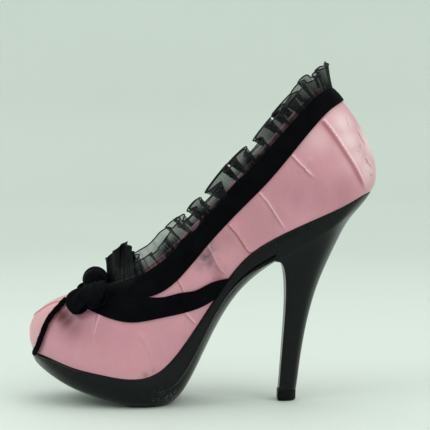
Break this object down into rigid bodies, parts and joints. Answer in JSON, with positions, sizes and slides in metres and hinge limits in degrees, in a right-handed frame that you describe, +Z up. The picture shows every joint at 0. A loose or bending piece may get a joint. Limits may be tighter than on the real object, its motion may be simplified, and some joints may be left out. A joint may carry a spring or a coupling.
{
  "type": "platform pump",
  "caption": "Closed-toe platform pump with a tall tapering heel, satin upper, velvet bands and bow, and a gathered sheer frill round the collar.",
  "frame": {"origin": "middle of the overall length and width, on the floor under the shoe", "axes": "+X towards the heel and -X towards the toe, -Y the outer side of the foot, +Z up"},
  "size_m": [0.2192, 0.0794, 0.2106],
  "materials": {
    "satin": "satin sheen",
    "velvet": "matte pile",
    "organza": "sheer",
    "gloss": "gloss",
    "lining": "matte",
    "tip": "matte"
  },
  "bodies": {
    "root": {"upper": "satin", "insole": "lining", "platform_sole": "gloss", "heel": "gloss", "heel_tip": "tip", "collar_band": "velvet", "vamp_strap_outer": "velvet", "vamp_strap_inner": "velvet", "toe_piping_outer": "velvet", "toe_piping_inner": "velvet", "bow_crest": "velvet", "bow_loop_outer": "velvet", "bow_loop_inner": "velvet", "bow_petal_outer": "velvet", "bow_petal_inner": "velvet", "frill": "organza"}
  },
  "joints": []
}
